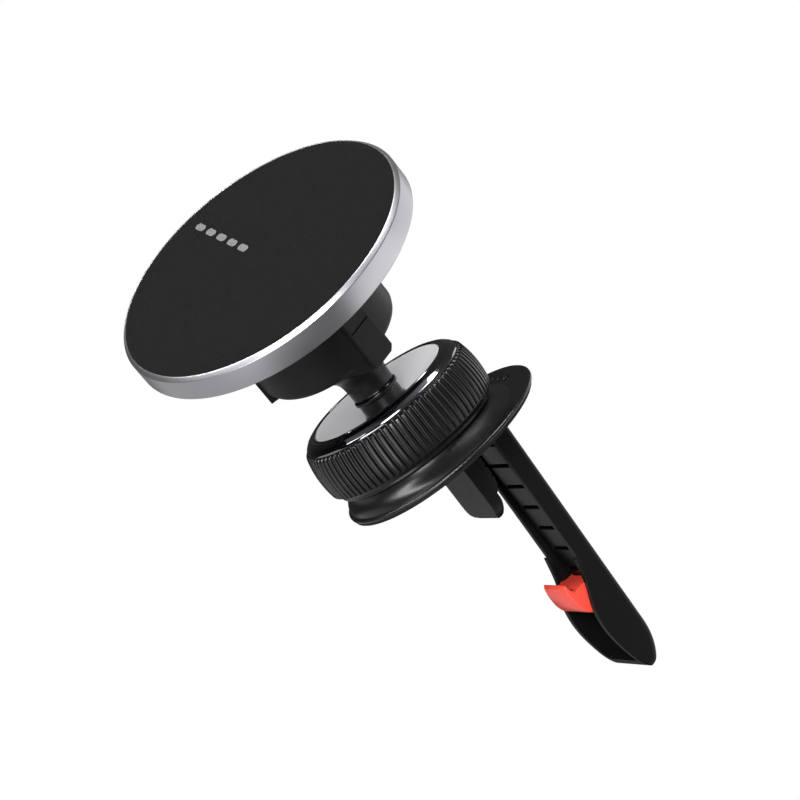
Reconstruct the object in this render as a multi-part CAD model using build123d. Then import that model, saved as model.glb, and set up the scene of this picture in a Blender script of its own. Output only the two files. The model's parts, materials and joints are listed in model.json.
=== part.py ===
"""Air-vent phone mount: magnetic head, ball joint, knurled clamping knob, vent hook arm.

Frame: +Z up, origin where the knob's axis meets the rubber foot of the flange. The knob's axis
is Y. The head faces -Y, the hook arm runs along +Y into the vent. All lengths are millimetres.
"""
import math
import os

from build123d import *

# ------------------------------------------------------------------ driving dimensions
# clearances
RUN_FIT = 0.08            # radial, shafts and rings that turn
SEAT_FIT = 0.03           # radial, pieces that are seated and stay put
BALL_FIT = 0.15           # radial, ball in its cup

# head
HEAD_R = 30.0             # outside of the metal bezel
PAD_R = 29.05             # fabric face
BEZEL_DEPTH = 5.24
BEZEL_CHAMFER_R = 29.15   # where the front chamfer starts
BEZEL_CHAMFER_DROP = 0.67
MAGNET_COUNT = 16
SCREW_CIRCLE = 8.0        # housing screws, round the head's axis
SCREW_TURNS = (90, 210, 330)
HOUSING_R = 14.6
HOUSING_FLOOR = -6.9
HOUSING_END = -23.2       # back rim of the socket housing, from the head's face
NUT_FRONT = -19.6
LUG_REACH = 2.4           # how far the grip lugs pass the back rim
LUG_COUNT = 3
LUG_WIDTH = 5.8
LUG_TURN = 119.3

# ball joint
BALL_R = 8.5              # the usual 17 mm ball
BALL_Y = -29.1
NECK_R = 4.4
HEAD_TILT = 18.73         # head's axis from the knob's axis, at rest
HEAD_TILT_AZIMUTH = -23.23  # which way it leans, from +X towards +Z
FACE_FROM_BALL = 23.76    # along the head's axis
SOCKET_OFFSET = 1.53      # ball's centre from the head's axis
CLIP_Y = -12.95
CLIP_IN_R = 3.75

# knob
DISH_R = 14.25
DISH_DEPTH = 2.9
DISH_Y = -16.5            # edge of the silver dish
KNOB_R = 18.6             # widest, over the ribs
KNOB_BOTTOM = -4.35
COLLAR_R = 17.1
RIB_COUNT = 80
RIB_DEPTH = 0.55
RIB_WIDTH = 0.8
RIB_TOP_Y = -14.75
RIB_END_Y = -5.7
KNOB_BORE_R = 16.2
SLEEVE_R = 15.1           # inside of the threaded sleeve
STUD_HOLE_R = 4.5

# flange
FLANGE_TILT = 2.8         # the foot leans back this much to lie on the vent
FLANGE_R = 21.7
FLANGE_Z = 3.7            # its centre is this far towards the arm
FLANGE_EDGE = 0.85
FLANGE_NECK_R = 16.35
FLANGE_TOP = -4.05
PILOT_R = 16.1            # boss that centres the knob's collar
PILOT_TOP = -5.0
FOOT_REAR = 0.2           # rear of the rubber foot, on the knob's axis
FOOT_R = 21.3
FOOT_IN_R = 17.6
FOOT_T = 0.6
FOOT_Z = 3.5
POST_R = 7.0
POST_TOP = -11.2
POST_SEAT = -3.2
DIMPLE_Y = -1.75
DIMPLE_Z = 21.4
DIMPLES = ((-3.2, 0.45), (-0.6, 0.6), (2.4, 0.8))   # x and radius, larger the way the knob tightens

# jaw
JAW_HALF = 6.4
JAW_Z = 1.85              # face away from the arm
JAW_T = 2.6
JAW_END = 16.5
JAW_PAD_T = 1.9
JAW_PAD_HALF = 5.6
JAW_FOOT_TOP = -1.6
JAW_SCREW_X = (-9.9, 9.9)
JAW_SCREW_Z = -2.0

# arm
ARM_HALF = 6.75           # half the channel's outside width
ARM_WALL = 1.1
ARM_FLOOR = 1.2
ARM_BACK_0 = 14.47        # height of the channel's back at Y = 0
ARM_BACK_SLOPE = -0.0385
ARM_RIM_0 = 10.1          # height of the walls' rims at Y = 0
ARM_RIM_SLOPE = -0.028
ARM_TIP = (57.8, 8.5)     # Y and Z of the tip
ROOT_END = -0.9           # full section starts here, the narrow tongue ends
RIM_BEND = 25.0           # where the rims start to dip to the fish-belly end
BACK_BEND = 49.5          # where the back starts to curve down to the tip
THREAD_LEAD = 2.6
KNOB_TURNS = 600 / 360
ARM_TRAVEL = THREAD_LEAD * KNOB_TURNS   # drawn in by the knob
TONGUE_TOP = -6.4         # end of the arm's tongue, at rest
SLEEVE_END = TONGUE_TOP + 0.05
CARRIAGE_T = 1.8
CARRIAGE_SCREW_X = (-3.2, 3.2)
CARRIAGE_SCREW_Z = 11.9

# ladder and claw
PAD_TOP_Z = 10.55
LADDER_HALF = 4.6
LADDER_FIRST = 5.4        # start of the first step
LADDER_PITCH = 5.09
LADDER_STEP = 4.45
LADDER_COUNT = 8
CLAW_HALF = 5.4
CLAW_TIP_HALF = 4.4
GROOVE_HALF = 6.1
GROOVE_Z = (10.62, 11.28)


# ------------------------------------------------------------------ helpers
def turned(*outline):
    """Solid turned about Y from (radius, y) points."""
    return revolve(make_face(Polyline(*outline, close=True)), axis=Axis.Y)


def ring(r_out, r_in, y0, y1):
    """Plain ring about Y."""
    return turned((r_in, y0), (r_out, y0), (r_out, y1), (r_in, y1))


def disc(r, y0, y1):
    """Plain disc about Y."""
    return turned((0, y0), (r, y0), (r, y1), (0, y1))


def block(x, y, z):
    """Box from three (low, high) pairs."""
    size = [hi - lo for lo, hi in (x, y, z)]
    middle = [(hi + lo) / 2 for lo, hi in (x, y, z)]
    return Pos(*middle) * Box(*size)


def screw(head_r, head_t, shank_r, length):
    """Screw along Y with its head's top at y = 0, its shank towards -Y, and a cross recess."""
    body = disc(head_r, -head_t, 0) + disc(shank_r, -head_t - length, -head_t)
    body = chamfer(body.edges().sort_by(Axis.Y)[-1], 0.25 * head_t)
    slot = block((-0.62 * head_r, 0.62 * head_r), (-0.5 * head_t, 1), (-0.16 * head_r, 0.16 * head_r))
    return body - slot - Rot(0, 90, 0) * slot


def side_cut(face, half):
    """Extrude a face drawn in the Y-Z plane by half each way along X."""
    return extrude(face, amount=half, both=True)


def in_side_plane(*points):
    """Points given as (y, z), as vectors in the Y-Z plane."""
    return [Vector(0, y, z) for y, z in points]


def export_nodes(nodes):
    """One STEP file for each node."""
    os.makedirs("parts", exist_ok=True)
    for name, shape in nodes.items():
        shape.label = name
        export_step(shape, f"parts/{name}.step")


# ------------------------------------------------------------------ the head's own frame
# Local Y is the head's axis, out of its face. Local -Z is the way the socket is offset.
lean = math.radians(HEAD_TILT)
azimuth = math.radians(HEAD_TILT_AZIMUTH)
lean_dir = Vector(math.cos(azimuth), 0, math.sin(azimuth))
head_x = lean_dir * math.cos(lean) + Vector(0, 1, 0) * math.sin(lean)
head_axis = lean_dir * math.sin(lean) - Vector(0, 1, 0) * math.cos(lean)
socket_side = head_axis.cross(head_x)
ball_centre = Vector(0, BALL_Y, 0)
face_centre = ball_centre + head_axis * FACE_FROM_BALL - socket_side * SOCKET_OFFSET
head_frame = Plane(origin=face_centre, x_dir=head_x, z_dir=-socket_side).location
to_socket = Pos(0, 0, -SOCKET_OFFSET)      # from the head's axis to the ball's, in the head's frame
BALL_LOCAL_Y = -FACE_FROM_BALL


# ------------------------------------------------------------------ head
def face_pad():
    """Fabric-covered face that the phone sits on."""
    pad = disc(PAD_R, -0.9, 0)
    return fillet(pad.edges().sort_by(Axis.Y)[-1], 0.2)


def head_ring():
    """Metal bezel with a chamfered front and a lip behind the fabric."""
    return turned(
        (BEZEL_CHAMFER_R, 0.02),
        (BEZEL_CHAMFER_R + 0.12, 0.02),
        (HEAD_R, -BEZEL_CHAMFER_DROP),
        (HEAD_R, -BEZEL_DEPTH + 0.35),
        (HEAD_R - 0.35, -BEZEL_DEPTH),
        (28.95, -BEZEL_DEPTH),
        (28.95, -4.2),
        (27.6, -4.2),
        (27.6, -0.95),
        (BEZEL_CHAMFER_R, -0.95),
    )


def magnet_tray():
    """Shallow pan behind the fabric with a wall each side of the magnets."""
    tray = disc(27.5, -1.35, -0.95) + ring(27.5, 27.1, -3.6, -1.3)
    return tray + ring(21.4, 20.6, -3.6, -1.3)


def magnet_ring():
    """Arc magnets side by side, each a separate solid."""
    pitch = 360 / MAGNET_COUNT
    section = make_face(Polyline((21.6, -3.6), (26.9, -3.6), (26.9, -1.4), (21.6, -1.4), close=True))
    magnet = revolve(section, axis=Axis.Y, revolution_arc=pitch - 1.2)
    return Compound(children=[Rot(0, i * pitch, 0) * magnet for i in range(MAGNET_COUNT)])


def shunt_plate():
    """Steel ring that closes the field behind the magnets."""
    return ring(27.4, 11.0, -4.15, -3.62)


def screw_holes(circle, radius):
    """Holes for the housing's screws."""
    hole = Pos(circle, -6, 0) * Rot(90, 0, 0) * Cylinder(radius, 10)
    return [Rot(0, turn, 0) * hole for turn in SCREW_TURNS]


def back_cover():
    """Cover behind the magnets, with a boss that takes the housing's screws."""
    cover = disc(28.9, -BEZEL_DEPTH, -4.22) + disc(10.5, -4.3, -1.8)
    return cover - screw_holes(SCREW_CIRCLE, 0.98)


def head_screws():
    """Three screws from inside the socket housing into the back cover."""
    one = Pos(SCREW_CIRCLE, HOUSING_FLOOR - 1.1, 0) * Rot(180, 0, 0) * screw(1.7, 1.1, 0.95, 4.2)
    return Compound(children=[Rot(0, turn, 0) * one for turn in SCREW_TURNS])


def lug_skirt():
    """Sloping shoulder of the rim that runs into one side of a lug."""
    edge, tip = -LUG_WIDTH / 2, HOUSING_END - LUG_REACH
    outline = Polyline((edge + 1.5, tip + 0.1), (edge - 0.65, tip + 0.1), (edge - 1.7, tip + 0.8),
                       (edge - 2.8, tip + 1.6), (edge - 4.0, tip + 2.1), (edge - 5.2, HOUSING_END + 0.5),
                       (edge + 1.5, HOUSING_END + 0.5), close=True)
    shoulder = Pos(0, 0, 12) * extrude(make_face(outline), amount=5, both=True)
    return shoulder & ring(HOUSING_R - 0.25, HOUSING_R - 2.2, tip - 1, HOUSING_END + 1)


def socket_housing():
    """Cup behind the head with three flat grip lugs round its rim."""
    cup = turned(
        (0, -BEZEL_DEPTH),
        (HOUSING_R + 0.5, -BEZEL_DEPTH),
        (HOUSING_R, -BEZEL_DEPTH - 0.8),
        (HOUSING_R, HOUSING_END + 0.9),
        (HOUSING_R - 0.25, HOUSING_END + 0.25),
        (HOUSING_R - 0.9, HOUSING_END),
        (0, HOUSING_END),
    )
    half, tip = LUG_WIDTH / 2, HOUSING_END - LUG_REACH
    outline = Polyline((-half, -9.0), (-half, tip + 0.5), (-half + 0.5, tip), (half - 1.0, tip),
                       (half, tip + 0.9), (half, -9.0), close=True)
    lug = extrude(make_face(outline), amount=1.3, both=True)
    step = block((-half + 0.5, half - 0.5), (-16.9, -16.6), (1.1, 2))
    for turn in (LUG_TURN + i * 360 / LUG_COUNT for i in range(LUG_COUNT)):
        cup += Rot(0, turn, 0) * Pos(0, 0, HOUSING_R - 0.95) * (lug - step)
        cup += Rot(0, turn, 0) * lug_skirt()
    cup &= disc(HOUSING_R + 0.55, HOUSING_END - LUG_REACH - 1, 0)
    cup -= disc(10.1, -13.9, HOUSING_FLOOR)
    cup -= to_socket * disc(10.1 + RUN_FIT, HOUSING_END - 5, -13.9)
    cup -= to_socket * disc(12.2 + SEAT_FIT, HOUSING_END - 5, NUT_FRONT)
    return cup - screw_holes(SCREW_CIRCLE, 1.05)


def socket_nut():
    """Screwed ring that keeps the ball cup in the housing."""
    nut = ring(12.2, 10.25, HOUSING_END + 0.2, NUT_FRONT)
    nut += ring(12.2, 9.45, HOUSING_END + 0.2, HOUSING_END + 0.9)
    spanner_slot = block((-1.0, 1.0), (HOUSING_END - 1, HOUSING_END + 0.9), (9.9, 13))
    for turn in (0, 90, 180, 270):
        nut -= Rot(0, turn, 0) * spanner_slot
    return to_socket * nut


# ------------------------------------------------------------------ ball cup and stud
def ball_cup():
    """Plastic cup that grips the ball past its middle and turns inside the housing."""
    lip = BALL_LOCAL_Y - 1.85
    shell = turned(
        (0, -14.1),
        (9.6, -14.1),
        (10.1, -14.6),
        (10.1, HOUSING_END + 1.1),
        (9.3, HOUSING_END + 0.9),
        (8.95, lip),
        (0, lip),
    )
    shell -= Pos(0, BALL_LOCAL_Y, 0) * Sphere(BALL_R + BALL_FIT)
    for turn in range(0, 180, 45):
        shell -= Rot(0, turn, 0) * block((-0.35, 0.35), (lip - 1, BALL_LOCAL_Y + 4), (-9.4, 9.4))
    return to_socket * shell


def ball_stud():
    """Ball, waisted neck with a ridge, and a shank that turns in the post."""
    joint_y = BALL_Y + math.sqrt(BALL_R**2 - (NECK_R + 0.5) ** 2)
    neck = turned(
        (0, joint_y - 1),
        (NECK_R + 0.5, joint_y - 0.2),
        (NECK_R + 0.15, joint_y + 1.1),
        (NECK_R, joint_y + 2.4),
        (NECK_R - 0.05, -17.3),
        (NECK_R + 0.23, -16.95),
        (NECK_R + 0.23, -16.45),
        (NECK_R - 0.14, -16.15),
        (NECK_R - 0.14, POST_TOP - 0.1),
        (3.3, POST_TOP - 0.1),
        (3.3, -4.8),
        (0, -4.8),
    )
    stud = Pos(0, BALL_Y, 0) * Sphere(BALL_R) + neck
    stud -= ring(6, CLIP_IN_R, CLIP_Y - 0.05, CLIP_Y + 0.55)
    return stud - disc(1.98, -9.2, -4)


def stud_clip():
    """Open clip on the stud that holds the knob down."""
    clip = ring(6.0, CLIP_IN_R + SEAT_FIT, CLIP_Y, CLIP_Y + 0.5)
    return clip - block((-2.6, 2.6), (CLIP_Y - 1, CLIP_Y + 1), (-7, 0))


def stud_screw():
    """Screw from the back of the flange that pulls the stud into the post."""
    return Pos(0, -1.95, 0) * screw(3.4, 1.5, 1.95, 5.2)


# ------------------------------------------------------------------ knob
def barrel_side(inward, y_from, y_to, steps=4):
    """Points down the barrel's bulging side, moved in by inward."""
    points = []
    for i in range(steps + 1):
        y = y_from + (y_to - y_from) * i / steps
        bulge = 1 - ((y + 9.3) / 5.6) ** 2
        points.append((KNOB_R - 0.85 - inward + 0.85 * bulge, y))
    return points


def knob_barrel():
    """Knurled barrel: smooth core with a cone to its hub, upright ribs, and a smooth collar."""
    body = turned(
        *barrel_side(RIB_DEPTH, RIB_TOP_Y, RIB_END_Y),
        (COLLAR_R + 0.3, RIB_END_Y + 0.2),
        (COLLAR_R, -5.1),
        (COLLAR_R, KNOB_BOTTOM),
        (KNOB_BORE_R, KNOB_BOTTOM),
        (KNOB_BORE_R, -13.8),
        (DISH_R - 1.0, -14.2),
        (7.2, -12.35),
        (6.7, POST_TOP - 0.1),
        (STUD_HOLE_R, POST_TOP - 0.1),
        (STUD_HOLE_R, CLIP_Y + 0.6),
        (6.4, CLIP_Y + 0.6),
        (6.4, -13.2),
        (11.6, -14.84),
        (DISH_R - 0.8, -15.5),
        (16.3, -15.5),
        (16.9, RIB_TOP_Y - 0.25),
        (16.9, RIB_TOP_Y),
    )
    crest = barrel_side(0, RIB_TOP_Y + 0.12, RIB_END_Y - 0.15, steps=5)
    root_r = KNOB_BORE_R + 0.4
    section = Polyline((root_r, crest[0][1]), *crest, (root_r, crest[-1][1]), close=True)
    rib = extrude(make_face(section), amount=RIB_WIDTH / 2, both=True)
    pitch = 360 / RIB_COUNT
    return body + [Rot(0, (i + 0.5) * pitch, 0) * rib for i in range(RIB_COUNT)]


def knob_rim():
    """Glossy bevelled rim between the dish and the ribs."""
    return turned(
        (DISH_R, DISH_Y + 0.1),
        (DISH_R + 0.35, DISH_Y - 0.1),
        (15.5, DISH_Y + 0.05),
        (16.35, -15.95),
        (17.05, -15.3),
        (17.3, RIB_TOP_Y - 0.02),
        (16.93, RIB_TOP_Y - 0.02),
        (16.93, RIB_TOP_Y - 0.27),
        (16.32, -15.52),
        (DISH_R, -15.52),
    )


def dish_insert():
    """Silver dish, hollow towards the stud."""
    return turned(
        (DISH_R - 0.03, DISH_Y + 0.05),
        (11.6, DISH_Y + 1.15),
        (8.0, DISH_Y + 2.2),
        (STUD_HOLE_R, DISH_Y + DISH_DEPTH),
        (STUD_HOLE_R, DISH_Y + DISH_DEPTH + 0.4),
        (8.0, DISH_Y + 2.65),
        (11.6, DISH_Y + 1.6),
        (DISH_R - 0.8, DISH_Y + 0.98),
        (DISH_R - 0.03, DISH_Y + 0.98),
    )


def thread_sleeve():
    """Threaded sleeve pressed into the knob; the carriage climbs in it."""
    top = TONGUE_TOP - CARRIAGE_T - ARM_TRAVEL
    return ring(KNOB_BORE_R - SEAT_FIT, SLEEVE_R, top - 0.4, SLEEVE_END)


# ------------------------------------------------------------------ base
def foot_plane(y, z=0.0):
    """Plane parallel to the flange's foot, through (0, y, 0), centred at height z."""
    lean_back = math.radians(FLANGE_TILT)
    origin = (0, y - math.tan(lean_back) * z, z)
    return Plane(origin=origin, x_dir=(1, 0, 0), z_dir=(0, math.cos(lean_back), math.sin(lean_back)))


def window(margin):
    """Clear passage for the arm through the flange."""
    half = ARM_HALF + margin
    hole = block((-half, half), (-12, 6), (ARM_RIM_0 - 0.25 - margin, ARM_BACK_0 + 0.25 + margin))
    return fillet(hole.edges().filter_by(Axis.Y), 1.3)


def flange():
    """Flared foot: round under the knob, wider and off centre where it meets the vent."""
    def level(y, z=0.0):
        return Plane((0, y, z), x_dir=(1, 0, 0), z_dir=(0, 1, 0))

    rear = FOOT_REAR - FOOT_T
    flare = loft([
        level(FLANGE_TOP) * Circle(FLANGE_NECK_R),
        level(-3.0, 0.7) * Circle(17.35),
        level(-1.85, 2.2) * Circle(19.4),
        foot_plane(rear - FLANGE_EDGE + 0.2, FLANGE_Z) * Circle(FLANGE_R - 0.55),
    ])
    edge = extrude(foot_plane(rear, FLANGE_Z) * Circle(FLANGE_R), -FLANGE_EDGE)
    edge = fillet(edge.edges(), 0.32)
    body = flare + edge + disc(PILOT_R, PILOT_TOP, FLANGE_TOP + 0.5)
    body -= window(0.3)
    body -= disc(POST_R + SEAT_FIT, -10, 2)
    body -= disc(8.6 + SEAT_FIT, POST_SEAT, 4)
    body -= block((-12, 12), (JAW_FOOT_TOP, 4), (-5.6, JAW_Z + JAW_T + 0.05))
    for x in JAW_SCREW_X:
        body -= Pos(x, JAW_FOOT_TOP, JAW_SCREW_Z) * disc(1.0, -2.0, 1)
    return body - [Pos(x, DIMPLE_Y, DIMPLE_Z) * disc(r, -2, 0) for x, r in DIMPLES]


def flange_pad():
    """Rubber ring that bears on the vent."""
    outer = foot_plane(FOOT_REAR - FOOT_T, FOOT_Z)
    pad = extrude(outer * Circle(FOOT_R), FOOT_T)
    pad = fillet(pad.edges().sort_by(Axis.Y)[-1], 0.25)
    return pad - extrude(outer * Circle(FOOT_IN_R), 2 * FOOT_T, both=True)


def glide_ring():
    """Slip ring on the flange's boss, open where the arm passes; the knob's sleeve turns on it."""
    return ring(PILOT_R - 0.05, SLEEVE_R, SLEEVE_END + 0.06, PILOT_TOP) - block((-7.2, 7.2), (-8, 0), (9, 20))


def centre_post():
    """Tube through the knob that carries the stud and everything above it."""
    post = disc(POST_R, POST_TOP, POST_SEAT) + disc(8.6, POST_SEAT, -1.65)
    post = chamfer(post.edges().sort_by(Axis.Y)[0], 0.4)
    post -= disc(3.3 + RUN_FIT, POST_TOP - 1, -4.75)
    post -= disc(2.2, -6, 0)
    return post - disc(3.6, -3.5, 0)


def jaw():
    """Fixed finger under the slat, on a foot that is screwed into the flange."""
    z0, z1 = JAW_Z, JAW_Z + JAW_T
    outline = Polyline(
        *in_side_plane((JAW_FOOT_TOP, z0), (14.9, z0), (15.7, z0 + 0.25), (16.3, z0 + 0.75),
                       (JAW_END, z0 + 1.2), (JAW_END - 0.7, z0 + 1.7), (14.7, z1 - 0.5),
                       (13.4, z1 - 0.1), (12.6, z1), (JAW_FOOT_TOP, z1)),
        close=True,
    )
    finger = side_cut(make_face(outline), JAW_HALF)
    plan = block((-JAW_HALF, JAW_HALF), (-10, JAW_END), (z0 - 3, z1 + 3))
    plan = fillet(plan.edges().filter_by(Axis.Z).group_by(Axis.Y)[-1], 3.4)
    finger &= plan
    foot = block((-11.9, 11.9), (JAW_FOOT_TOP + SEAT_FIT, -0.75), (-5.5, z1))
    body = finger + foot
    for x in JAW_SCREW_X:
        body -= Pos(x, 0, JAW_SCREW_Z) * disc(1.1, -3, 1)
        body -= Pos(x, 0, JAW_SCREW_Z) * disc(1.95, -1.25, 1)
    return body


def jaw_pad():
    """Rubber pad on the side of the jaw that meets the slat."""
    z0 = JAW_Z + JAW_T
    z1 = z0 + JAW_PAD_T
    outline = Polyline(
        *in_side_plane((0.4, z0), (0.4, z1), (9.0, z1), (10.6, z1 - 0.45), (11.6, z1 - 1.1), (12.3, z0)),
        close=True,
    )
    pad = side_cut(make_face(outline), JAW_PAD_HALF)
    for i in range(4):
        pad -= block((-7, 7), (2.0 + 2.2 * i, 2.5 + 2.2 * i), (z1 - 0.35, z1 + 1))
    return pad


def jaw_screws():
    """Two screws that hold the jaw's foot in the flange."""
    one = Pos(0, -0.75, 0) * screw(1.8, 0.45, 0.95, 2.2)
    return Compound(children=[Pos(x, 0, JAW_SCREW_Z) * one for x in JAW_SCREW_X])


# ------------------------------------------------------------------ arm
def back_z(y):
    """Height of the channel's back."""
    return ARM_BACK_0 + ARM_BACK_SLOPE * y


def rim_z(y):
    """Height of the channel's rims before they dip."""
    return ARM_RIM_0 + ARM_RIM_SLOPE * y


def arm_back(inset=0.0):
    """Side view of the channel's back and its curve down to the tip, moved in by inset."""
    tip_y, tip_z = ARM_TIP
    back = Line(*in_side_plane((ROOT_END, back_z(ROOT_END) - inset), (BACK_BEND, back_z(BACK_BEND) - inset)))
    nose = Spline(
        *in_side_plane((BACK_BEND, back_z(BACK_BEND) - inset), (54.0 - 0.6 * inset, 11.75 - 0.8 * inset),
                       (56.6 - 0.9 * inset, 10.4 - 0.6 * inset), (tip_y - inset, tip_z)),
        tangents=[Vector(0, 1, ARM_BACK_SLOPE), Vector(0, 0.1, -1)],
    )
    return back, nose


def arm_side():
    """Side outline of the channel, with its fish-belly end."""
    belly = Spline(
        *in_side_plane(ARM_TIP, (56.4, 7.1), (51.5, 5.6), (46.2, 5.0), (41.0, 5.75),
                       (35.6, 7.85), (31.5, 8.85), (RIM_BEND, rim_z(RIM_BEND))),
        tangents=[Vector(0, -0.35, -1), Vector(0, -1, 0.03)],
    )
    rim = Line(*in_side_plane((RIM_BEND, rim_z(RIM_BEND)), (ROOT_END, rim_z(ROOT_END))))
    end = Line(*in_side_plane((ROOT_END, rim_z(ROOT_END)), (ROOT_END, back_z(ROOT_END))))
    return make_face([*arm_back(), belly, rim, end])


def arm_hollow():
    """What is cut out between the channel's walls."""
    tip_y, tip_z = ARM_TIP[0] - ARM_FLOOR, ARM_TIP[1]
    below = Polyline(*in_side_plane((tip_y, tip_z), (tip_y, 0), (ROOT_END, 0),
                                    (ROOT_END, back_z(ROOT_END) - ARM_FLOOR)))
    hollow = side_cut(make_face([*arm_back(ARM_FLOOR), below]), ARM_HALF - ARM_WALL)
    return hollow & block((-9, 9), (2.2, ARM_TIP[0] - 2.6), (-1, 20))


def arm_channel():
    """Channel open towards the jaw, with a deep rounded end and a tongue into the knob."""
    body = side_cut(arm_side(), ARM_HALF)
    long_edges = [e for e in body.edges() if e.length > 40 and e.center().Z > 12]
    body = fillet(long_edges, 1.1)
    body -= arm_hollow()
    body -= block((-GROOVE_HALF, GROOVE_HALF), (4.5, 46.0), GROOVE_Z)
    tongue = block((-5.2, 5.2), (TONGUE_TOP, ROOT_END), (10.25, 13.6))
    for x in CARRIAGE_SCREW_X:
        tongue -= Pos(x, TONGUE_TOP, CARRIAGE_SCREW_Z) * disc(0.95, -1, 4.2)
    return body + tongue


def ladder_strip():
    """Stepped strip on the channel's floor; the claw clicks along its steps."""
    strip = None
    for i in range(LADDER_COUNT):
        start = LADDER_FIRST + i * LADDER_PITCH
        step = block((-LADDER_HALF, LADDER_HALF), (start, start + LADDER_STEP), (PAD_TOP_Z, 11.45))
        top_edges = step.edges().filter_by(Axis.X).sort_by(Axis.Z)[:2]
        step = chamfer(top_edges, 0.15)
        strip = step if strip is None else strip + step
    length = LADDER_COUNT * LADDER_PITCH
    start = LADDER_FIRST - 0.6
    end = start + length
    base = Polyline(
        *in_side_plane((start, 11.4), (start, back_z(start) - ARM_FLOOR - 0.02),
                       (end, back_z(end) - ARM_FLOOR - 0.02), (end, 11.4)),
        close=True,
    )
    strip += side_cut(make_face(base), LADDER_HALF)
    notch = block((LADDER_HALF - 0.9, LADDER_HALF + 1), (-0.2, 0.35), (PAD_TOP_Z - 0.5, 11.6))
    for i in range(LADDER_COUNT):
        y = LADDER_FIRST + i * LADDER_PITCH + LADDER_STEP + 0.2
        strip -= Pos(0, y, 0) * notch
    return strip


def carriage():
    """Ring that climbs in the knob's sleeve and draws the arm in."""
    top = TONGUE_TOP - CARRIAGE_T
    body = ring(SLEEVE_R - RUN_FIT, 10.2, top, TONGUE_TOP)
    for x in CARRIAGE_SCREW_X:
        body -= Pos(x, top, CARRIAGE_SCREW_Z) * disc(1.0, -1, 4)
        body -= Pos(x, top, CARRIAGE_SCREW_Z) * disc(1.65, -1, 0.9)
    return body


def carriage_screws():
    """Two screws that join the carriage to the arm's tongue."""
    top = TONGUE_TOP - CARRIAGE_T
    one = Pos(0, top + 0.02, 0) * Rot(180, 0, 0) * screw(1.6, 0.85, 0.92, 4.0)
    return Compound(children=[Pos(x, 0, CARRIAGE_SCREW_Z) * one for x in CARRIAGE_SCREW_X])


# ------------------------------------------------------------------ claw
def claw():
    """Red hook: a V that catches the slat's far edge, on a saddle that slides along the ladder."""
    outline = Polyline(
        *in_side_plane((34.5, 4.45), (37.0, 5.35), (36.55, 7.8), (37.2, 9.2), (37.2, 10.4), (43.2, 10.4),
                       (43.2, 8.2), (42.0, 5.2), (40.9, 4.5), (39.4, 4.0), (37.2, 3.85), (35.2, 4.05)),
        close=True,
    )
    body = side_cut(make_face(outline), CLAW_HALF)
    taper = Plane.XY * make_face(Polyline(
        (-CLAW_TIP_HALF, 30), (CLAW_TIP_HALF, 30), (CLAW_TIP_HALF, 34.6), (CLAW_HALF, 41.5), (CLAW_HALF, 46),
        (-CLAW_HALF, 46), (-CLAW_HALF, 41.5), (-CLAW_TIP_HALF, 34.6), close=True,
    ))
    hook = body & extrude(taper, 8.2)
    saddle = body & block((-20, 20), (30, 50), (8.2, 20))
    body = hook + saddle
    leg_low, leg_high = 10.3, 11.16
    for side in (-1, 1):
        inner, outer, tongue = (side * x for x in (LADDER_HALF + 0.15, CLAW_HALF, CLAW_HALF + 0.5))
        body += block(sorted((inner, outer)), (37.4, 43.0), (leg_low, leg_high))
        body += block(sorted((inner, tongue)), (37.4, 43.0), (10.74, leg_high))
    body -= block((-2.0, 2.0), (38.2, 42.4), (9.7, 12))
    return body


def claw_spring():
    """Leaf in the saddle that presses on the ladder's steps."""
    leaf = block((-1.9, 1.9), (38.25, 42.35), (9.72, 9.92))
    bump = Pos(0, 40.7, 9.95) * Rot(0, 90, 0) * Cylinder(0.5, 3.6)
    return leaf + (bump & block((-3, 3), (39, 42), (9.8, 12)))


# ------------------------------------------------------------------ assembly
IN_HEAD_FRAME = (face_pad, head_ring, magnet_tray, magnet_ring, shunt_plate, back_cover,
                 head_screws, socket_housing, socket_nut, ball_cup)
IN_ROW_FRAME = (ball_stud, stud_clip, stud_screw, knob_barrel, knob_rim, dish_insert, thread_sleeve,
                flange, flange_pad, glide_ring, centre_post, jaw, jaw_pad, jaw_screws,
                arm_channel, ladder_strip, carriage, carriage_screws, claw, claw_spring)

nodes = {make.__name__: head_frame * make() for make in IN_HEAD_FRAME}
nodes.update({make.__name__: make() for make in IN_ROW_FRAME})
export_nodes(nodes)
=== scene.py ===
"""Looks for the air-vent phone mount: finished surfaces, materials, light and camera.

Everything is in the part's own frame: the knob turns about Y, the head faces -Y, and the hook
arm runs along +Y. Outlines are written in millimetres and scaled to metres as they are built.
"""
import json
import math

import bpy
from mathutils import Matrix, Vector


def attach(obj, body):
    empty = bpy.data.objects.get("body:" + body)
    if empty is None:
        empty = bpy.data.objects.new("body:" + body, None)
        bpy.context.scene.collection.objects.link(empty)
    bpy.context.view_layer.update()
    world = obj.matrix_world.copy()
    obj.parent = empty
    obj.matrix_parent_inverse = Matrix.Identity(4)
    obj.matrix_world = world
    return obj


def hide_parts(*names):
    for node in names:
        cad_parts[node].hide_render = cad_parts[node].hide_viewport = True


MM = 0.001
ROW = Matrix.Identity(4)
SPIN_STEPS = 240                      # steps round a spun surface
CORNER_STEPS = 5                      # straight pieces in a rounded corner
CURVE_STEPS = 5                       # straight pieces between two points of a smooth line

# Camera, fitted to the photograph's ellipses and straight edges
VIEW_FROM = Vector((0.54412, -0.14860, -0.19530))
VIEW_RIGHT = Vector((0.40227908, 0.59397116, 0.69668487))
VIEW_UP = Vector((0.0382041, -0.77120238, 0.63544262))
VIEW_BACK = VIEW_RIGHT.cross(VIEW_UP)
LENS_MM, SENSOR_MM = 144, 36

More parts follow.
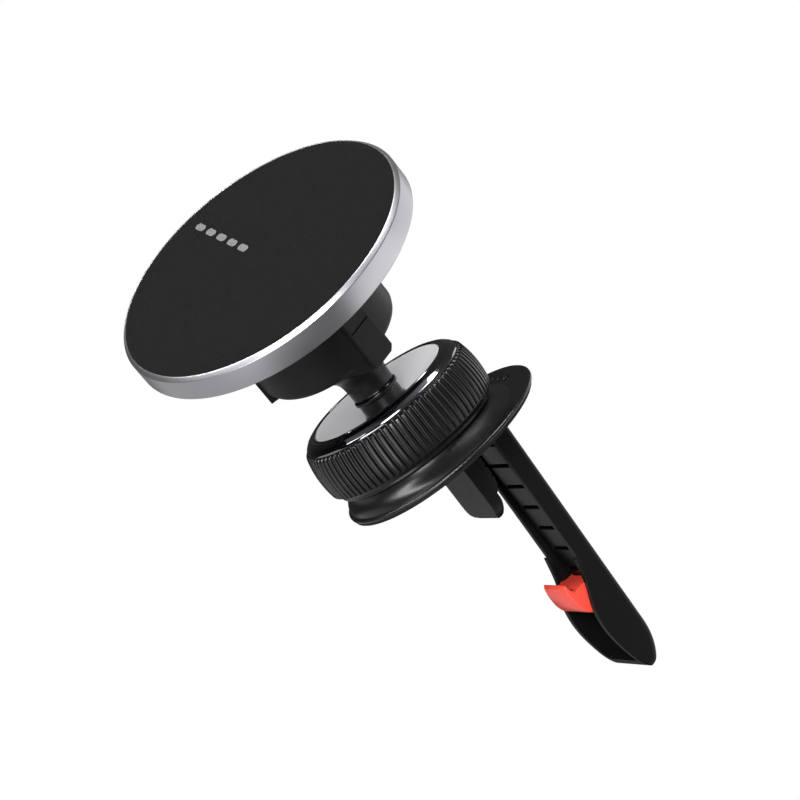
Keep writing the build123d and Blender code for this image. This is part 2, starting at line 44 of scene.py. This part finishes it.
# Dashes printed on the fabric
DASH_COUNT = 5
DASH_PITCH = 4.3
DASH_LENGTH, DASH_WIDTH = 3.1, 1.5
DASH_LIFT = 0.03                      # how far the print stands off the fabric
DASH_END_STEPS = 8
DASH_CENTRE = Vector((-14.2, 0.0, 4.0))
DASH_TURN = Matrix.Rotation(math.radians(16.7), 3, "Y")

# Knob: each rib's section round the turn (in pitches) with its height there
RIBS = 80
RIB_SAMPLES = (0.5, 0.39, 0.33, 0.28, 0.22, 0.12, 0.0, -0.12, -0.22, -0.28, -0.33, -0.39)
RIB_HEIGHTS = (0.0, 0.03, 0.28, 0.72, 0.96, 0.97, 0.93, 0.97, 0.96, 0.72, 0.28, 0.03)
RIB_DEPTH = 0.56
RIB_TOP, RIB_END = -14.72, -5.72
RIB_TOP_ROUND, RIB_END_ROUND = 0.55, 0.22
CREST_R, CREST_SWELL = 17.75, 0.85    # the barrel's crest line swells in the middle
CREST_MIDDLE, CREST_HALF = 9.3, 5.6

# Stud
BALL_R, BALL_Y = 8.5, -29.1
BALL_STEPS = 40
BALL_TURN = 143.0                     # degrees of the ball's outline before the neck starts

# Claw, seen from the side, as (y, z)
CLAW_HALF, CLAW_TIP_HALF = 5.36, 4.36
CLAW_UNDERSIDE = [(43.18, 8.2), (42.55, 6.35), (41.85, 5.2), (40.9, 4.55), (39.4, 4.08),
                  (37.2, 3.9), (35.2, 4.1)]
CLAW_INSIDE = [(34.55, 4.5), (36.0, 4.85), (36.9, 5.4), (36.85, 6.3), (36.62, 7.8), (37.22, 9.2),
               (37.22, 10.38), (43.18, 10.38)]
CLAW_LAYERS = ((-1.0, 0.22), (-0.985, 0.08), (-0.95, 0.0), (0.95, 0.0), (0.985, 0.08), (1.0, 0.22))
HOOK_TIP_Y, HOOK_LENGTH = 34.6, 6.9   # the hook widens over this length
SADDLE_Z, SADDLE_RISE = 7.7, 0.9      # and reaches its full width over this height
LEG_INSIDE, LEG_LIP = 4.78, 5.86
LEG_RUN = (37.4, 43.0)

# Floor and world
FLOOR_HALF, FLOOR_Z = 3.0, -0.30
WORLD_DIM, WORLD_BRIGHT = 0.01, 0.15
WORLD_REACH = 0.9                     # where the ramp ends, along the view's right

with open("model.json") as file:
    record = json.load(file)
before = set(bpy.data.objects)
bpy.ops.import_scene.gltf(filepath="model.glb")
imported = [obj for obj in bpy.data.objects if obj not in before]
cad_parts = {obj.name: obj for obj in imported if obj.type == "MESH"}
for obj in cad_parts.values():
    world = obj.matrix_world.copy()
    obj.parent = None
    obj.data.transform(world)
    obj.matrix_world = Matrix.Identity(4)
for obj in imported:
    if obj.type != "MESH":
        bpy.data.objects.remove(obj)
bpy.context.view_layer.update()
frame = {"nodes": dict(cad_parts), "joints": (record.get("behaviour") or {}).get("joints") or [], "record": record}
scene = bpy.context.scene


# ------------------------------------------------------------------ the head's own frame
def head_matrix():
    """Local Y out of the face, local X up the slope of the head's tilt."""
    face = next(m for m in frame["record"]["mounts"] if m["name"] == "phone_face")
    tilt = next(j for j in frame["joints"] if j["name"] == "ball_tilt")
    out = Vector(face["axis"]).normalized()
    side = -Vector(tilt["axis"]).normalized()
    across = out.cross(side).normalized()
    turn = Matrix((across, out, side)).transposed().to_4x4()
    return Matrix.Translation(Vector(face["pos_m"])) @ turn


HEAD = head_matrix()


# ------------------------------------------------------------------ camera
def make_camera():
    data = bpy.data.cameras.new("camera")
    data.lens = LENS_MM
    data.sensor_width = SENSOR_MM
    data.clip_start = 0.05
    data.clip_end = 20
    camera = bpy.data.objects.new("camera", data)
    turn = Matrix((VIEW_RIGHT, VIEW_UP, VIEW_BACK)).transposed()
    camera.matrix_world = Matrix.Translation(VIEW_FROM) @ turn.to_4x4()
    scene.collection.objects.link(camera)
    scene.camera = camera


# ------------------------------------------------------------------ shader helpers
class Shader:
    """One material's node tree, with short ways to add and join nodes."""

    def __init__(self, name, color, roughness, metallic=0.0, **sockets):
        self.material = bpy.data.materials.new(name)
        self.material.use_nodes = True
        self.tree = self.material.node_tree
        self.main = self.tree.nodes["Principled BSDF"]
        self.main.inputs["Base Color"].default_value = (*color, 1)
        self.main.inputs["Roughness"].default_value = roughness
        self.main.inputs["Metallic"].default_value = metallic
        for key, value in sockets.items():
            socket = key.replace("_", " ").title().replace("Ior", "IOR")
            self.main.inputs[socket].default_value = value

    def add(self, kind, **settings):
        node = self.tree.nodes.new(kind)
        for key, value in settings.items():
            setattr(node, key, value)
        return node

    def join(self, source, target):
        self.tree.links.new(source, target)

    def coordinates(self, turn=None):
        """Object coordinates, turned into a local frame where a pattern must follow one."""
        where = self.add("ShaderNodeTexCoord").outputs["Object"]
        if turn is None:
            return where
        mapping = self.add("ShaderNodeMapping")
        mapping.inputs["Rotation"].default_value = turn
        self.join(where, mapping.inputs["Vector"])
        return mapping.outputs["Vector"]

    def noise(self, scale, detail=3.0, where=None):
        node = self.add("ShaderNodeTexNoise")
        node.inputs["Scale"].default_value = scale
        node.inputs["Detail"].default_value = detail
        self.join(where or self.coordinates(), node.inputs["Vector"])
        return node.outputs["Fac"]

    def math(self, operation, first, second):
        node = self.add("ShaderNodeMath", operation=operation)
        for socket, value in zip(node.inputs, (first, second)):
            if isinstance(value, (int, float)):
                socket.default_value = value
            else:
                self.join(value, socket)
        return node.outputs[0]

    def ramp(self, value, low, high):
        """value from 0..1 to low..high, each a number."""
        node = self.add("ShaderNodeMapRange")
        node.inputs["To Min"].default_value = low
        node.inputs["To Max"].default_value = high
        self.join(value, node.inputs["Value"])
        return node.outputs["Result"]

    def blend_color(self, value, dark, light):
        node = self.add("ShaderNodeMix", data_type="RGBA")
        node.inputs["A"].default_value = (*dark, 1)
        node.inputs["B"].default_value = (*light, 1)
        self.join(value, node.inputs["Factor"])
        return node.outputs["Result"]

    def soft_edges(self, radius):
        """Normals rounded off at edges, as a moulded or machined edge is."""
        node = self.add("ShaderNodeBevel", samples=6)
        node.inputs["Radius"].default_value = radius
        return node.outputs["Normal"]

    def bump(self, height, distance, strength, under=None):
        node = self.add("ShaderNodeBump")
        node.inputs["Distance"].default_value = distance
        node.inputs["Strength"].default_value = strength
        self.join(height, node.inputs["Height"])
        if under is not None:
            self.join(under, node.inputs["Normal"])
        return node.outputs["Normal"]

    def use_normal(self, normal):
        self.join(normal, self.main.inputs["Normal"])

    def use_roughness(self, value):
        self.join(value, self.main.inputs["Roughness"])

    def use_color(self, value):
        self.join(value, self.main.inputs["Base Color"])


def scaled(color, factor):
    return tuple(min(1.0, c * factor) for c in color)


WEAR_FROM = 0.97                      # how closely the rounded and flat normals agree where wear starts
WEAR_GAIN = 6.0
WEAR_PALER = 3.0
THREAD = 0.00042                      # the weave's pitch
THREAD_LIFT = 0.00010
BANDS_PER_THREAD = 0.314              # the wave texture's scale for one band to the metre
TURNING_PITCH = 0.00022               # between two of the lines that turning leaves
METAL_EDGE = 0.00015


def moulded(name, color, rough, grain=3000, grain_depth=0.000008, edge=0.00025, wear=0.25,
            **sockets):
    """Moulded plastic or rubber: fine spark texture, uneven sheen, and slightly paler worn edges."""
    s = Shader(name, color, rough, **sockets)
    edges = s.soft_edges(edge)
    s.use_normal(s.bump(s.noise(grain, 4), grain_depth, 0.5, edges))
    s.use_roughness(s.ramp(s.noise(140, 5), rough - 0.06, rough + 0.08))
    flat = s.add("ShaderNodeNewGeometry").outputs["Normal"]
    meet = s.add("ShaderNodeVectorMath", operation="DOT_PRODUCT")
    s.join(edges, meet.inputs[0])
    s.join(flat, meet.inputs[1])
    worn = s.math("MAXIMUM", s.math("SUBTRACT", WEAR_FROM, meet.outputs["Value"]), 0.0)
    worn = s.math("MULTIPLY", worn, s.ramp(s.noise(900, 4), 0.0, WEAR_GAIN * wear))
    tone = s.blend_color(s.noise(60, 4), scaled(color, 0.8), scaled(color, 1.25))
    pale = s.add("ShaderNodeMix", data_type="RGBA")
    pale.inputs["B"].default_value = (*scaled(color, WEAR_PALER), 1)
    s.join(tone, pale.inputs["A"])
    s.join(s.math("MINIMUM", worn, 1.0), pale.inputs["Factor"])
    s.use_color(pale.outputs["Result"])
    return s.material


def metal(name, color, rough, grain=1800, grain_depth=0.00001):
    """Bead-blasted or plated metal: fine grain and faint handling marks in its sheen."""
    s = Shader(name, color, rough, metallic=1.0)
    s.use_normal(s.bump(s.noise(grain, 4), grain_depth, 0.35, s.soft_edges(METAL_EDGE)))
    s.use_roughness(s.ramp(s.noise(90, 6), rough - 0.05, rough + 0.06))
    s.use_color(s.blend_color(s.noise(45, 3), scaled(color, 0.94), scaled(color, 1.04)))
    return s.material


def spun_metal(name, color, rough, metallic):
    """Metal with the fine circular lines that turning leaves, about the knob's axis."""
    s = Shader(name, color, rough, metallic)
    split = s.add("ShaderNodeSeparateXYZ")
    s.join(s.coordinates(), split.inputs[0])
    flat = s.add("ShaderNodeCombineXYZ")
    s.join(split.outputs["X"], flat.inputs["X"])
    s.join(split.outputs["Z"], flat.inputs["Y"])
    length = s.add("ShaderNodeVectorMath", operation="LENGTH")
    s.join(flat.outputs[0], length.inputs[0])
    phase = s.math("MULTIPLY", length.outputs["Value"], 2 * math.pi / TURNING_PITCH)
    lines = s.math("SINE", phase, 0)
    uneven = s.math("MULTIPLY", lines, s.noise(500, 4))
    s.use_normal(s.bump(uneven, 0.000004, 0.5))
    s.use_roughness(s.ramp(s.noise(70, 5), rough - 0.04, rough + 0.08))
    s.use_color(s.blend_color(s.noise(40, 3), scaled(color, 0.92), scaled(color, 1.05)))
    return s.material


def woven(name, color):
    """Fine plain weave in the head's own frame, with uneven threads and loose fibres; its colour is paler on the
    raised threads and fibres and darker in the hollows between threads, a painted highlight and painted shade.
    """
    s = Shader(name, color, 0.9, sheen_weight=0.02, sheen_roughness=0.5,
               specular_ior_level=0.05)
    where = s.coordinates(HEAD.to_3x3().inverted().to_euler())
    waves = []
    for axis in "XZ":
        wave = s.add("ShaderNodeTexWave", wave_type="BANDS", bands_direction=axis)
        wave.inputs["Scale"].default_value = BANDS_PER_THREAD / THREAD
        wave.inputs["Distortion"].default_value = 1.2
        wave.inputs["Detail"].default_value = 2.0
        wave.inputs["Detail Scale"].default_value = 1.5
        s.join(where, wave.inputs["Vector"])
        waves.append(wave.outputs["Fac"])
    weave = s.math("MULTIPLY", *waves)
    fibre = s.noise(5200, 5, where)
    height = s.math("ADD", weave, s.math("MULTIPLY", fibre, 0.6))
    s.use_normal(s.bump(height, THREAD_LIFT, 0.9))
    speckle = s.math("POWER", fibre, 2.0)
    # Painted highlight on the raised thread crossings and fibres, painted shade in the hollows between threads:
    # the colour follows the bump's height.
    painted_relief_light = s.math("ADD", s.math("MULTIPLY", weave, 0.45), s.math("MULTIPLY", speckle, 1.1))
    s.use_color(s.blend_color(painted_relief_light, scaled(color, 0.55), scaled(color, 1.7)))
    return s.material


MATERIALS = {
    "fabric_face": woven("charcoal weave", (0.0028, 0.0028, 0.0031)),
    "print": woven("pale print on weave", (0.12, 0.12, 0.125)),
    "bezel": metal("blasted aluminium", (0.46, 0.455, 0.485), 0.36),
    "black_plastic": moulded("matte black plastic", (0.004, 0.004, 0.0045), 0.48, grain=2200,
                             grain_depth=0.000014, specular_ior_level=0.22),
    "satin_black": moulded("satin black plastic", (0.003, 0.003, 0.0035), 0.38, grain=3200,
                           specular_ior_level=0.2),
    "flange_black": moulded("satin flange plastic", (0.004, 0.004, 0.0045), 0.30, grain=3200,
                            specular_ior_level=0.5),
    "arm_black": moulded("matte arm plastic", (0.003, 0.003, 0.0035), 0.40, grain=2600,
                         grain_depth=0.00001, edge=0.0004, wear=0.03, specular_ior_level=0.16),
    "ladder_black": moulded("dark ladder plastic", (0.0015, 0.0015, 0.002), 0.30, grain=2600,
                            grain_depth=0.000006, edge=0.0002, specular_ior_level=0.12),
    "rib_black": moulded("black rib plastic", (0.004, 0.004, 0.0045), 0.25, grain=4000,
                         edge=0.00006, specular_ior_level=0.35),
    "gloss_black": metal("polished dark chrome", (0.30, 0.30, 0.32), 0.07, grain=900,
                         grain_depth=0.000002),
    "stud_black": moulded("gloss black plating", (0.0015, 0.0015, 0.002), 0.16, grain=2500,
                          grain_depth=0.000003, edge=0.0001, specular_ior_level=0.25),
    "silver_dish": spun_metal("turned silver dish", (0.82, 0.82, 0.85), 0.42, metallic=0.25),
    "foot_rubber": moulded("matte rubber", (0.005, 0.005, 0.0055), 0.66, grain=2600, grain_depth=0.00002,
                           specular_ior_level=0.2),
    "claw_red": moulded("coral red plastic", (0.66, 0.055, 0.034), 0.30, grain=2600, edge=0.0003,
                        wear=0.06, subsurface_weight=0.12, subsurface_scale=0.002),
    "steel": metal("zinc plated steel", (0.55, 0.55, 0.56), 0.30),
    "magnet": metal("nickel plated magnet", (0.60, 0.59, 0.57), 0.22),
    "spring_steel": metal("bright spring steel", (0.50, 0.50, 0.51), 0.22),
    "liner": moulded("smooth dark liner", (0.012, 0.012, 0.013), 0.40),
}

# Nodes whose look differs from their record slot's own material
NODE_LOOKS = {"flange": "flange_black", "arm_channel": "arm_black", "ladder_strip": "ladder_black"}


def dress_nodes():
    """Gives each CAD node its procedural material."""
    for entry in frame["record"]["subparts"]:
        node = frame["nodes"][entry["node"]]
        node.data.materials.clear()
        look = NODE_LOOKS.get(entry["node"], entry["material_slot"])
        node.data.materials.append(MATERIALS[look])


# ------------------------------------------------------------------ building finished surfaces
def rounded(outline):
    """Closed outline from (radius, y, corner) points, with each corner rounded by its corner size."""
    points = []
    count = len(outline)
    for i, (r, y, corner) in enumerate(outline):
        here = Vector((r, y))
        before = Vector(outline[i - 1][:2])
        after = Vector(outline[(i + 1) % count][:2])
        if corner <= 0:
            points.append(here)
            continue
        reach_in = min(corner, 0.49 * (before - here).length)
        reach_out = min(corner, 0.49 * (after - here).length)
        start = here + (before - here).normalized() * reach_in
        end = here + (after - here).normalized() * reach_out
        for k in range(CORNER_STEPS + 1):
            t = k / CORNER_STEPS
            points.append(start * (1 - t) ** 2 + here * (2 * t * (1 - t)) + end * t**2)
    return points


def add_piece(name, vertices, faces, slot, body, stands_for=(), place=ROW,
              sharp=40):
    """A visible mesh, given in millimetres, that rides on a body."""
    mesh = bpy.data.meshes.new(name)
    mesh.from_pydata([Vector(v) * MM for v in vertices], [], faces)
    mesh.validate()
    mesh.update()
    mesh.transform(place)
    mesh.shade_smooth()
    mesh.set_sharp_from_angle(angle=math.radians(sharp))
    mesh.materials.append(MATERIALS[slot])
    piece = bpy.data.objects.new(name, mesh)
    scene.collection.objects.link(piece)
    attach(piece, body)
    if stands_for:
        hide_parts(*stands_for)
    return piece


def turned_faces(steps, count):
    """Faces between the copies of a closed outline of count points, set round the turn."""
    faces = []
    for i in range(steps):
        j = (i + 1) % steps
        for k in range(count):
            m = (k + 1) % count
            faces.append((i * count + k, j * count + k, j * count + m, i * count + m))
    return faces


def spun(name, outline, slot, body, stands_for, place=ROW):
    """A piece turned about Y from a closed outline of (radius, y, corner)."""
    points = rounded(outline)
    vertices = []
    for i in range(SPIN_STEPS):
        turn = 2 * math.pi * i / SPIN_STEPS
        vertices.extend((r * math.cos(turn), y, r * math.sin(turn)) for r, y in points)
    faces = turned_faces(SPIN_STEPS, len(points))
    return add_piece(name, vertices, faces, slot, body, stands_for, place)


def held(value):
    """The value, held between 0 and 1."""
    return min(1.0, max(0.0, value))


# ------------------------------------------------------------------ head
def make_face_cloth():
    """Fabric face: flat, with its edge turned down into the bezel."""
    outline = [(0.001, -0.9, 0), (29.05, -0.9, 0), (29.06, -0.10, 0.14), (28.6, 0.0, 0.35),
               (14, 0.0, 0), (0.001, 0.0, 0)]
    cloth = spun("face_cloth", outline, "fabric_face", "head", ("face_pad",), HEAD)


def make_print():
    """Plain row of dashes printed on the fabric."""
    vertices, faces = [], []
    for i in range(DASH_COUNT):
        middle = (i - (DASH_COUNT - 1) / 2) * DASH_PITCH
        start = len(vertices)
        for x, z in dash_outline():
            spot = DASH_TURN @ Vector((middle + x, DASH_LIFT, z)) + DASH_CENTRE
            vertices.append(tuple(spot))
        faces.append(tuple(range(start, len(vertices))))
    add_piece("print_dashes", vertices, faces, "print", "head", place=HEAD)


def dash_outline():
    """One dash with round ends, lying along the first direction."""
    length, width = DASH_LENGTH, DASH_WIDTH
    points = []
    for end, first in ((length / 2 - width / 2, -90), (-length / 2 + width / 2, 90)):
        for k in range(DASH_END_STEPS + 1):
            turn = math.radians(first + 180 * k / DASH_END_STEPS)
            points.append((end + width / 2 * math.cos(turn), width / 2 * math.sin(turn)))
    return points


def make_bezel():
    """Machined bezel: thin bright lip, chamfer, plain side, rounded back edge."""
    outline = [(29.12, 0.02, 0.04), (29.30, 0.02, 0.06), (29.97, -0.72, 0.12),
               (29.97, -5.23, 0.35), (28.95, -5.24, 0), (28.95, -4.2, 0), (27.6, -4.2, 0),
               (27.6, -0.95, 0), (29.12, -0.95, 0)]
    spun("bezel_ring", outline, "bezel", "head", ("head_ring",), HEAD)


# ------------------------------------------------------------------ knob
def barrel_crest(y):
    """Radius of the ribs' crest line at y."""
    return CREST_R + CREST_SWELL * (1 - ((y + CREST_MIDDLE) / CREST_HALF) ** 2)


def rib_reach(y):
    """How much of a rib's height is left at y: its ends are rounded over."""
    top = held((y - RIB_TOP) / RIB_TOP_ROUND)
    end = held((RIB_END - y) / RIB_END_ROUND)
    return math.sqrt(1 - (1 - top) ** 2) * math.sqrt(1 - (1 - end) ** 2)


def make_barrel():
    """Knurled barrel with round-edged ribs and smooth rounded rib ends."""
    side = [RIB_TOP + d for d in (0.0, 0.03, 0.09, 0.18, 0.3, 0.45, 0.6)]
    side += [-13.2 + i * 0.9 for i in range(8)]
    side += [RIB_END - d for d in (0.3, 0.22, 0.14, 0.07, 0.02, 0.0)]
    ribbed = [Vector((barrel_crest(y), y)) for y in side]
    rest = rounded([(17.42, RIB_END + 0.14, 0.08), (17.1, -5.05, 0.25), (17.1, -4.35, 0.2),
                    (16.2, -4.35, 0), (16.2, -13.8, 0), (13.25, -14.2, 0), (7.2, -12.35, 0),
                    (6.7, -11.3, 0), (4.5, -11.3, 0), (4.5, -12.35, 0), (6.4, -12.35, 0), (6.4, -13.2, 0),
                    (13.4, -15.45, 0), (16.3, -15.45, 0), (16.9, -15.0, 0), (16.9, -14.8, 0.05)])
    points = ribbed + rest
    vertices = []
    for rib in range(RIBS):
        for sample, height in zip(RIB_SAMPLES, RIB_HEIGHTS):
            turn = 2 * math.pi * (rib + 0.5 - sample) / RIBS
            for k, (r, y) in enumerate(points):
                if k < len(ribbed):
                    r -= RIB_DEPTH * (1 - height * rib_reach(y))
                vertices.append((r * math.cos(turn), y, r * math.sin(turn)))
    faces = turned_faces(RIBS * len(RIB_SAMPLES), len(points))
    add_piece("ribbed_barrel", vertices, faces, "rib_black", "knob", ("knob_barrel",),
              sharp=60)


def make_knob_top():
    """Bevelled dark chrome rim and the hollow silver dish inside it."""
    rim = [(14.25, -16.42, 0.05), (14.34, -16.6, 0.08), (14.72, -16.6, 0.12), (14.84, -16.44, 0.05),
           (15.0, -16.42, 0.05), (15.2, -16.5, 0.08), (16.3, -15.98, 0.15), (17.08, -15.28, 0.15),
           (17.2, -14.8, 0.1), (16.93, -14.8, 0), (16.93, -15.0, 0), (16.33, -15.52, 0),
           (14.25, -15.52, 0)]
    spun("polished_rim", rim, "gloss_black", "knob", ("knob_rim",))
    dish = [(14.2, -16.42, 0.08), (11.6, -15.35, 2.0), (8.0, -14.3, 2.0), (4.55, -13.62, 0.2),
            (4.55, -13.22, 0), (8.0, -13.88, 0), (11.6, -14.93, 0), (13.4, -15.52, 0), (14.2, -15.52, 0)]
    spun("silver_dish_face", dish, "silver_dish", "knob", ("dish_insert",))


# ------------------------------------------------------------------ stud
def make_stud():
    """Ball, waisted neck with a ridge, and shank, in one smooth turned surface."""
    ball = []
    for k in range(BALL_STEPS + 1):
        turn = math.radians(k * BALL_TURN / BALL_STEPS)
        ball.append((max(0.001, BALL_R * math.sin(turn)), BALL_Y - BALL_R * math.cos(turn), 0))
    neck = [(4.62, -21.4, 0.8), (4.42, -19.8, 0.8), (4.36, -17.45, 0.2), (4.66, -17.05, 0.15),
            (4.66, -16.5, 0.15), (4.27, -16.2, 0.15), (4.27, -12.98, 0), (3.75, -12.98, 0),
            (3.75, -12.4, 0), (4.27, -12.4, 0), (4.27, -11.3, 0.1), (3.3, -11.3, 0.1),
            (3.3, -4.8, 0.2), (1.98, -4.8, 0), (1.98, -9.2, 0), (0.001, -9.2, 0)]
    spun("turned_stud", ball + neck, "stud_black", "stud", ("ball_stud",))


# ------------------------------------------------------------------ claw
def smooth_line(points):
    """Catmull-Rom curve through the points."""
    line = []
    last = len(points) - 1
    for i in range(last):
        a, b = Vector(points[max(i - 1, 0)]), Vector(points[i])
        c, d = Vector(points[i + 1]), Vector(points[min(i + 2, last)])
        for k in range(CURVE_STEPS):
            u = k / CURVE_STEPS
            line.append(0.5 * (2 * b + (c - a) * u + (2 * a - 5 * b + 4 * c - d) * u**2
                               + (3 * b - a - 3 * c + d) * u**3))
    return line + [Vector(points[-1])]


def claw_half(y, z):
    """Half the claw's width: narrower at the hook's tip, full at the saddle."""
    narrow = CLAW_TIP_HALF + (CLAW_HALF - CLAW_TIP_HALF) * held((y - HOOK_TIP_Y) / HOOK_LENGTH)
    return narrow + (CLAW_HALF - narrow) * held((z - SADDLE_Z) / SADDLE_RISE)


def make_claw():
    """Smooth red hook on its saddle, with the legs that run in the channel's grooves."""
    outline = smooth_line(CLAW_UNDERSIDE) + [Vector(p) for p in CLAW_INSIDE]
    count = len(outline)
    middle = sum(outline, Vector((0, 0))) / count
    vertices, faces = [], []
    for side, inset in CLAW_LAYERS:
        for p in outline:
            y, z = p + (middle - p).normalized() * inset
            vertices.append((side * claw_half(p.x, p.y), y, z))
    for layer in range(len(CLAW_LAYERS) - 1):
        low, high = layer * count, (layer + 1) * count
        for k in range(count):
            m = (k + 1) % count
            faces.append((low + k, low + m, high + m, high + k))
    faces.append(tuple(range(count))[::-1])
    faces.append(tuple((len(CLAW_LAYERS) - 1) * count + k for k in range(count)))
    for side in (-1, 1):
        add_block(vertices, faces, (side * LEG_INSIDE, side * CLAW_HALF), LEG_RUN, (10.3, 11.12))
        add_block(vertices, faces, (side * LEG_INSIDE, side * LEG_LIP), LEG_RUN, (10.78, 11.12))
    add_piece("red_claw", vertices, faces, "claw_red", "claw", ("claw",), sharp=35)


def add_block(vertices, faces, x, y, z):
    """Adds a box with the given (from, to) in each direction."""
    start = len(vertices)
    vertices.extend((a, b, c) for a in x for b in y for c in z)
    for face in ((0, 1, 3, 2), (4, 6, 7, 5), (0, 4, 5, 1), (2, 3, 7, 6), (0, 2, 6, 4), (1, 5, 7, 3)):
        faces.append(tuple(start + k for k in face))


# ------------------------------------------------------------------ light and floor
LIGHT_TARGET = Vector((0.01, -0.01, 0.0))

# Soft square lights: name, direction from the object, distance, size and power
LIGHTS = (
    ("low key", VIEW_BACK * 0.8 - VIEW_UP * 0.6 - VIEW_RIGHT * 0.3, 0.7, 0.45, 3.0),
    ("side", Vector((0.40, 0.64, 0.66)), 0.6, 0.55, 1.3),
    ("below", Vector((-0.45, 0.50, -0.72)), 0.8, 1.3, 2.8),
    ("behind", Vector((-0.33, 0.36, 0.87)), 0.6, 0.5, 0.9),
    ("under the head", Vector((0.78, -0.50, -0.37)), 0.6, 0.24, 5.0),
    ("front high", Vector((0.20, -0.85, 0.48)), 0.7, 0.35, 6.0),
    ("front low", Vector((-0.05, -0.86, -0.50)), 0.7, 0.35, 5.0),
)


def area_light(name, toward, distance, size, power):
    """Soft square light that stands off the object in the given direction."""
    data = bpy.data.lights.new(name, "AREA")
    data.size = size
    data.energy = power
    light = bpy.data.objects.new(name, data)
    place = LIGHT_TARGET + toward.normalized() * distance
    light.location = place
    light.rotation_euler = (LIGHT_TARGET - place).to_track_quat("-Z", "Y").to_euler()
    scene.collection.objects.link(light)


def make_world():
    """White to the camera; a soft studio that is brighter on one side to everything else."""
    world = bpy.data.worlds.new("studio")
    world.use_nodes = True
    nodes, links = world.node_tree.nodes, world.node_tree.links
    background = nodes["Background"]
    where = nodes.new("ShaderNodeTexCoord")
    meet = nodes.new("ShaderNodeVectorMath")
    meet.operation = "DOT_PRODUCT"
    meet.inputs[1].default_value = VIEW_RIGHT
    links.new(where.outputs["Generated"], meet.inputs[0])
    ramp = nodes.new("ShaderNodeMapRange")
    ramp.inputs["From Min"].default_value = -WORLD_REACH
    ramp.inputs["From Max"].default_value = WORLD_REACH
    ramp.inputs["To Min"].default_value = WORLD_DIM
    ramp.inputs["To Max"].default_value = WORLD_BRIGHT
    links.new(meet.outputs["Value"], ramp.inputs["Value"])
    soft = nodes.new("ShaderNodeBackground")
    links.new(ramp.outputs["Result"], soft.inputs["Strength"])
    background.inputs["Color"].default_value = (1, 1, 1, 1)
    background.inputs["Strength"].default_value = 1.0
    seen = nodes.new("ShaderNodeLightPath")
    pick = nodes.new("ShaderNodeMixShader")
    links.new(seen.outputs["Is Camera Ray"], pick.inputs["Fac"])
    links.new(soft.outputs["Background"], pick.inputs[1])
    links.new(background.outputs["Background"], pick.inputs[2])
    links.new(pick.outputs["Shader"], nodes["World Output"].inputs["Surface"])
    scene.world = world


def light_floor(floor):
    """Soft overhead light that only the floor receives."""
    data = bpy.data.lights.new("overhead", "SUN")
    data.energy = 3.0
    data.angle = 0.6
    sun = bpy.data.objects.new("overhead", data)
    scene.collection.objects.link(sun)
    receivers = bpy.data.collections.new("overhead receivers")
    receivers.objects.link(floor)
    sun.light_linking.receiver_collection = receivers


def make_floor():
    """Plain pale floor, which neither lights nor shades the part."""
    half = FLOOR_HALF
    corners = [(x, y, FLOOR_Z) for x, y in ((-half, -half), (half, -half), (half, half), (-half, half))]
    mesh = bpy.data.meshes.new("floor")
    mesh.from_pydata(corners, [], [(0, 1, 2, 3)])
    floor = bpy.data.objects.new("floor", mesh)
    paint = Shader("pale floor", (0.90, 0.90, 0.90), 0.8)
    paint.use_color(paint.blend_color(paint.noise(6, 3), (0.89, 0.89, 0.89), (0.91, 0.91, 0.91)))
    mesh.materials.append(paint.material)
    scene.collection.objects.link(floor)
    floor.visible_diffuse = False
    floor.visible_glossy = False
    floor.visible_shadow = False
    light_floor(floor)


def make_studio():
    scene.view_settings.view_transform = "Standard"
    make_world()
    for light in LIGHTS:
        area_light(*light)
    make_floor()


make_camera()
dress_nodes()
make_face_cloth()
make_print()
make_bezel()
make_barrel()
make_knob_top()
make_stud()
make_claw()
make_studio()
